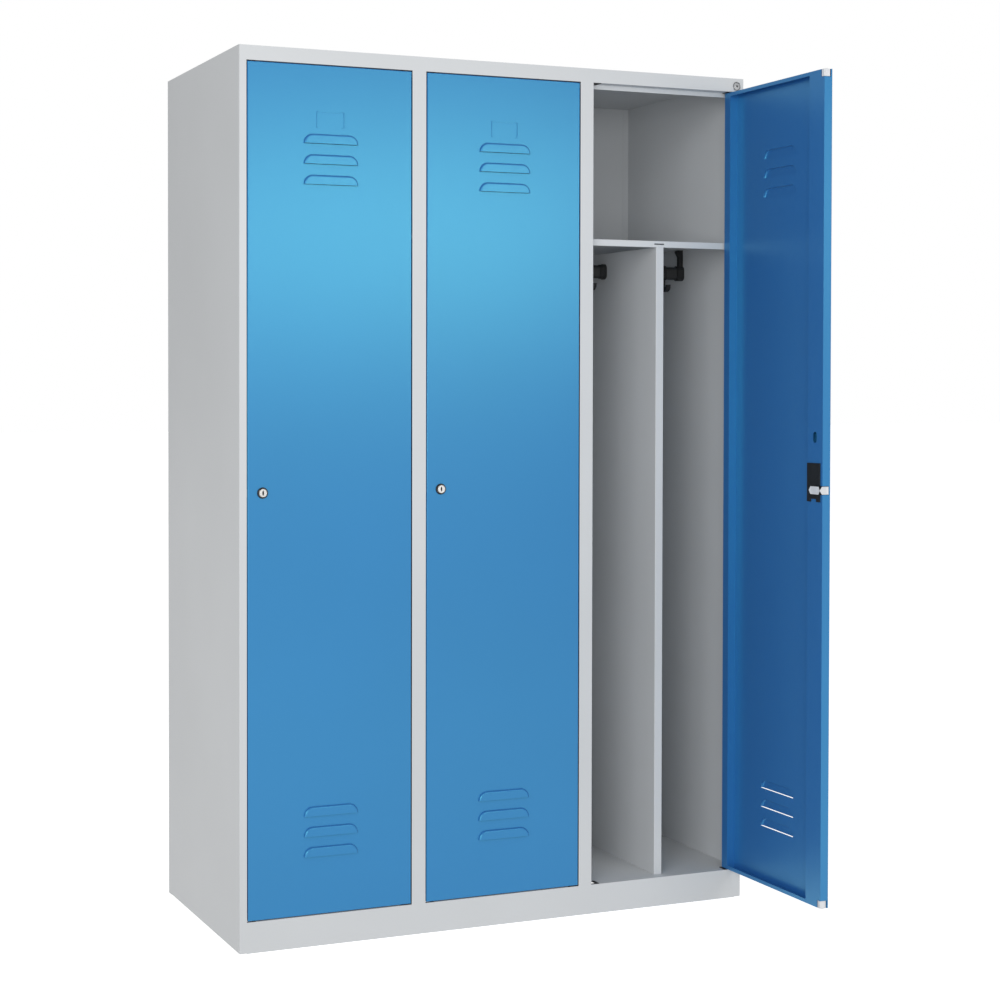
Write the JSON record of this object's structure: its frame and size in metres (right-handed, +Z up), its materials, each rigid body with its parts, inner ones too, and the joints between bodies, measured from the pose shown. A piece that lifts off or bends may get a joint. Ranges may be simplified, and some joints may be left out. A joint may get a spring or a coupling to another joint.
{
  "type": "locker cabinet",
  "caption": "Steel clothes locker with full-height vented doors, each with a turn lock, bolt and rods, over a shelf, divider and coat rail.",
  "frame": {"origin": "on the floor, at the middle of the carcass footprint", "axes": "+Z up, +Y towards the back, doors face -Y, +X to the right seen from the front"},
  "size_m": [1.2, 0.846, 1.85],
  "materials": {
    "body_paint": "satin powder coat, light grey",
    "door_paint": "satin powder coat, light blue",
    "black_plastic": "moulded, fine texture",
    "light_plastic": "moulded, off-white",
    "rail_plastic": "moulded, black",
    "hook_plastic": "moulded, black",
    "rail_steel": "oval tube, black powder coat",
    "zinc_steel": "zinc plated",
    "lock_metal": "nickel plated, satin",
    "badge": "plain satin disc"
  },
  "bodies": {
    "root": {"badge_disc": "badge", "base_rail": "body_paint", "coat_rails": "rail_steel", "divider_1": "body_paint", "divider_2": "body_paint", "divider_3": "body_paint", "floor_panel": "body_paint", "header_rail": "body_paint", "hinge_bushings": "black_plastic", "partition_1": "body_paint", "partition_2": "body_paint", "pillar_1": "body_paint", "pillar_2": "body_paint", "plinth_stiffener": "body_paint", "rail_brackets": "rail_plastic", "rail_collars": "rail_plastic", "rear_panel": "body_paint", "rod_strikes": "black_plastic", "shelf_1": "body_paint", "shelf_2": "body_paint", "shelf_3": "body_paint", "side_panel_left": "body_paint", "side_panel_right": "body_paint", "top_panel": "body_paint"},
    "door_1": {"door_1_hinge_pins": "zinc_steel", "door_1_lock_case": "black_plastic", "door_1_lock_ring": "black_plastic", "door_1_panel": "door_paint"},
    "lock_1": {"door_1_lock_core": "lock_metal"},
    "bolt_1": {"door_1_latch_bolt": "light_plastic"},
    "upper_rod_1": {"door_1_upper_rod": "zinc_steel", "door_1_upper_tip": "light_plastic"},
    "lower_rod_1": {"door_1_lower_rod": "zinc_steel", "door_1_lower_tip": "light_plastic"},
    "door_2": {"door_2_hinge_pins": "zinc_steel", "door_2_lock_case": "black_plastic", "door_2_lock_ring": "black_plastic", "door_2_panel": "door_paint"},
    "lock_2": {"door_2_lock_core": "lock_metal"},
    "bolt_2": {"door_2_latch_bolt": "light_plastic"},
    "upper_rod_2": {"door_2_upper_rod": "zinc_steel", "door_2_upper_tip": "light_plastic"},
    "lower_rod_2": {"door_2_lower_rod": "zinc_steel", "door_2_lower_tip": "light_plastic"},
    "door_3": {"door_3_hinge_pins": "zinc_steel", "door_3_lock_case": "black_plastic", "door_3_lock_ring": "black_plastic", "door_3_panel": "door_paint"},
    "lock_3": {"door_3_lock_core": "lock_metal"},
    "bolt_3": {"door_3_latch_bolt": "light_plastic"},
    "upper_rod_3": {"door_3_upper_rod": "zinc_steel", "door_3_upper_tip": "light_plastic"},
    "lower_rod_3": {"door_3_lower_rod": "zinc_steel", "door_3_lower_tip": "light_plastic"},
    "hook_1_left": {"coat_hook_1_left": "hook_plastic"},
    "hook_1_right": {"coat_hook_1_right": "hook_plastic"},
    "hook_2_left": {"coat_hook_2_left": "hook_plastic"},
    "hook_2_right": {"coat_hook_2_right": "hook_plastic"},
    "hook_3_left": {"coat_hook_3_left": "hook_plastic"},
    "hook_3_right": {"coat_hook_3_right": "hook_plastic"}
  },
  "joints": [
    {"name": "door_1_hinge", "type": "hinge", "parent": "root", "child": "door_1", "pos_m": [-0.2265, -0.24, 0.9413], "axis": [0, 0, 1], "range_deg": [0, 90]},
    {"name": "door_1_lock_turn", "type": "hinge", "parent": "door_1", "child": "lock_1", "pos_m": [-0.5501, -0.25, 0.9413], "axis": [0, 1, 0], "range_deg": [0, 90]},
    {"name": "door_1_bolt_slide", "type": "slide", "parent": "door_1", "child": "bolt_1", "axis": [-1, 0, 0], "range_m": [0, 0.0086]},
    {"name": "door_1_upper_rod_slide", "type": "slide", "parent": "door_1", "child": "upper_rod_1", "axis": [0, 0, 1], "range_m": [0, 0.0113]},
    {"name": "door_1_lower_rod_slide", "type": "slide", "parent": "door_1", "child": "lower_rod_1", "axis": [0, 0, -1], "range_m": [0, 0.0114]},
    {"name": "hook_1_left_slide", "type": "slide", "parent": "root", "child": "hook_1_left", "axis": [1, 0, 0], "range_m": [-0.12, 0.018]},
    {"name": "hook_1_right_slide", "type": "slide", "parent": "root", "child": "hook_1_right", "axis": [1, 0, 0], "range_m": [-0.14, 0.027]},
    {"name": "door_2_hinge", "type": "hinge", "parent": "root", "child": "door_2", "pos_m": [0.1735, -0.24, 0.9413], "axis": [0, 0, 1], "range_deg": [0, 90]},
    {"name": "door_2_lock_turn", "type": "hinge", "parent": "door_2", "child": "lock_2", "pos_m": [-0.1501, -0.25, 0.9413], "axis": [0, 1, 0], "range_deg": [0, 90]},
    {"name": "door_2_bolt_slide", "type": "slide", "parent": "door_2", "child": "bolt_2", "axis": [-1, 0, 0], "range_m": [0, 0.0086]},
    {"name": "door_2_upper_rod_slide", "type": "slide", "parent": "door_2", "child": "upper_rod_2", "axis": [0, 0, 1], "range_m": [0, 0.0113]},
    {"name": "door_2_lower_rod_slide", "type": "slide", "parent": "door_2", "child": "lower_rod_2", "axis": [0, 0, -1], "range_m": [0, 0.0114]},
    {"name": "hook_2_left_slide", "type": "slide", "parent": "root", "child": "hook_2_left", "axis": [1, 0, 0], "range_m": [-0.12, 0.018]},
    {"name": "hook_2_right_slide", "type": "slide", "parent": "root", "child": "hook_2_right", "axis": [1, 0, 0], "range_m": [-0.14, 0.027]},
    {"name": "door_3_hinge", "type": "hinge", "parent": "root", "child": "door_3", "pos_m": [0.5735, -0.24, 0.9413], "axis": [0, 0, 1], "range_deg": [-90, 0]},
    {"name": "door_3_lock_turn", "type": "hinge", "parent": "door_3", "child": "lock_3", "pos_m": [0.5835, -0.5636, 0.9413], "axis": [-1, 0, 0], "range_deg": [0, 90]},
    {"name": "door_3_bolt_slide", "type": "slide", "parent": "door_3", "child": "bolt_3", "axis": [0, -1, 0], "range_m": [0, 0.0086]},
    {"name": "door_3_upper_rod_slide", "type": "slide", "parent": "door_3", "child": "upper_rod_3", "axis": [0, 0, 1], "range_m": [0, 0.0113]},
    {"name": "door_3_lower_rod_slide", "type": "slide", "parent": "door_3", "child": "lower_rod_3", "axis": [0, 0, -1], "range_m": [0, 0.0114]},
    {"name": "hook_3_left_slide", "type": "slide", "parent": "root", "child": "hook_3_left", "axis": [1, 0, 0], "range_m": [-0.12, 0.018]},
    {"name": "hook_3_right_slide", "type": "slide", "parent": "root", "child": "hook_3_right", "axis": [1, 0, 0], "range_m": [-0.14, 0.027]}
  ],
  "couplings": [
    {"joint": "door_1_lock_turn", "follows": "door_1_upper_rod_slide", "rad_per_m": 138.84},
    {"joint": "door_1_bolt_slide", "follows": "door_1_upper_rod_slide", "ratio": 0.75},
    {"joint": "door_1_lower_rod_slide", "follows": "door_1_upper_rod_slide", "ratio": 1},
    {"joint": "door_2_lock_turn", "follows": "door_2_upper_rod_slide", "rad_per_m": 138.84},
    {"joint": "door_2_bolt_slide", "follows": "door_2_upper_rod_slide", "ratio": 0.75},
    {"joint": "door_2_lower_rod_slide", "follows": "door_2_upper_rod_slide", "ratio": 1},
    {"joint": "door_3_lock_turn", "follows": "door_3_upper_rod_slide", "rad_per_m": 138.84},
    {"joint": "door_3_bolt_slide", "follows": "door_3_upper_rod_slide", "ratio": 0.75},
    {"joint": "door_3_lower_rod_slide", "follows": "door_3_upper_rod_slide", "ratio": 1}
  ]
}
